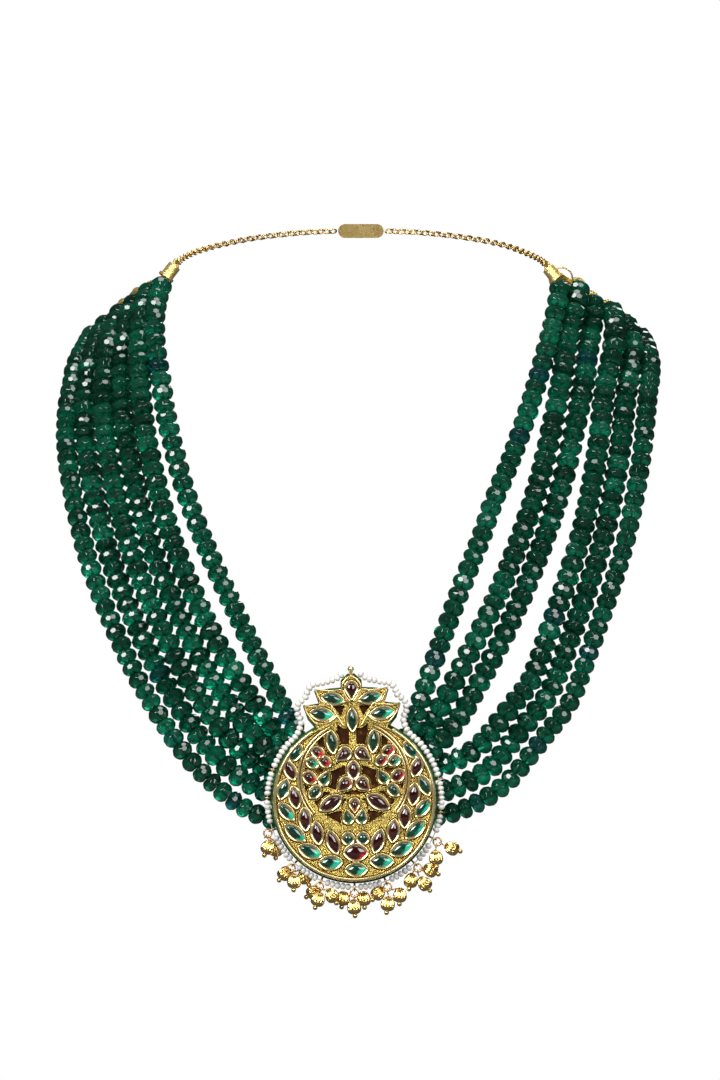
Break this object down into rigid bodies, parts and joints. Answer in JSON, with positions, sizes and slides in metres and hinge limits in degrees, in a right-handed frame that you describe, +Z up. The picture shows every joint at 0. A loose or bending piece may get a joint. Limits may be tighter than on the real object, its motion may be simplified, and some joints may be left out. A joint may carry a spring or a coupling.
{
  "type": "kundan pendant necklace",
  "caption": "Necklace of faceted green bead strands on each side of a round stone-set gold pendant with a crown, a seed pearl border and small hanging bells.",
  "frame": {"origin": "middle of the wearer's neck at the height where the strands start, between the two end bars", "axes": "+X to the viewer's right, which is the wearer's left; +Y back to the nape; +Z up"},
  "size_m": [0.173, 0.1178, 0.1984],
  "materials": {
    "green_beads": "faceted, polished",
    "gold": "satin",
    "gold_chain": "fine links, polished",
    "kundan_gold": "burnished foil",
    "gold_wire": "polished, worn",
    "bell_gold": "fluted, polished",
    "green_enamel": "fired enamel",
    "emerald": "foil-backed cabochon",
    "ruby": "foil-backed cabochon",
    "pearl": "nacre"
  },
  "bodies": {
    "root": {"strand_left_1": "green_beads", "strand_left_2": "green_beads", "strand_left_3": "green_beads", "strand_left_4": "green_beads", "strand_left_5": "green_beads", "strand_left_6": "green_beads", "strand_right_1": "green_beads", "strand_right_2": "green_beads", "strand_right_3": "green_beads", "strand_right_4": "green_beads", "strand_right_5": "green_beads", "strand_right_6": "green_beads", "end_bar_left": "gold", "end_bar_right": "gold", "chain_left": "gold_chain", "chain_right": "gold_chain", "clasp": "gold", "pendant_back": "gold", "enamel_band": "green_enamel", "pendant_front": "kundan_gold", "emeralds": "emerald", "rubies": "ruby", "pearl_border": "pearl", "jump_ring_1": "gold_wire", "jump_ring_2": "gold_wire", "jump_ring_3": "gold_wire", "jump_ring_4": "gold_wire", "jump_ring_5": "gold_wire", "jump_ring_6": "gold_wire", "jump_ring_7": "gold_wire", "bell_1": "bell_gold", "bell_2": "bell_gold", "bell_3": "bell_gold", "bell_4": "bell_gold", "bell_5": "bell_gold", "bell_6": "bell_gold", "bell_7": "bell_gold", "bell_8": "bell_gold", "bell_9": "bell_gold", "bell_10": "bell_gold", "bell_11": "bell_gold", "bell_12": "bell_gold", "bell_13": "bell_gold", "bell_14": "bell_gold", "bell_15": "bell_gold", "bell_16": "bell_gold", "bell_17": "bell_gold", "bell_18": "bell_gold", "bell_19": "bell_gold"}
  },
  "joints": []
}
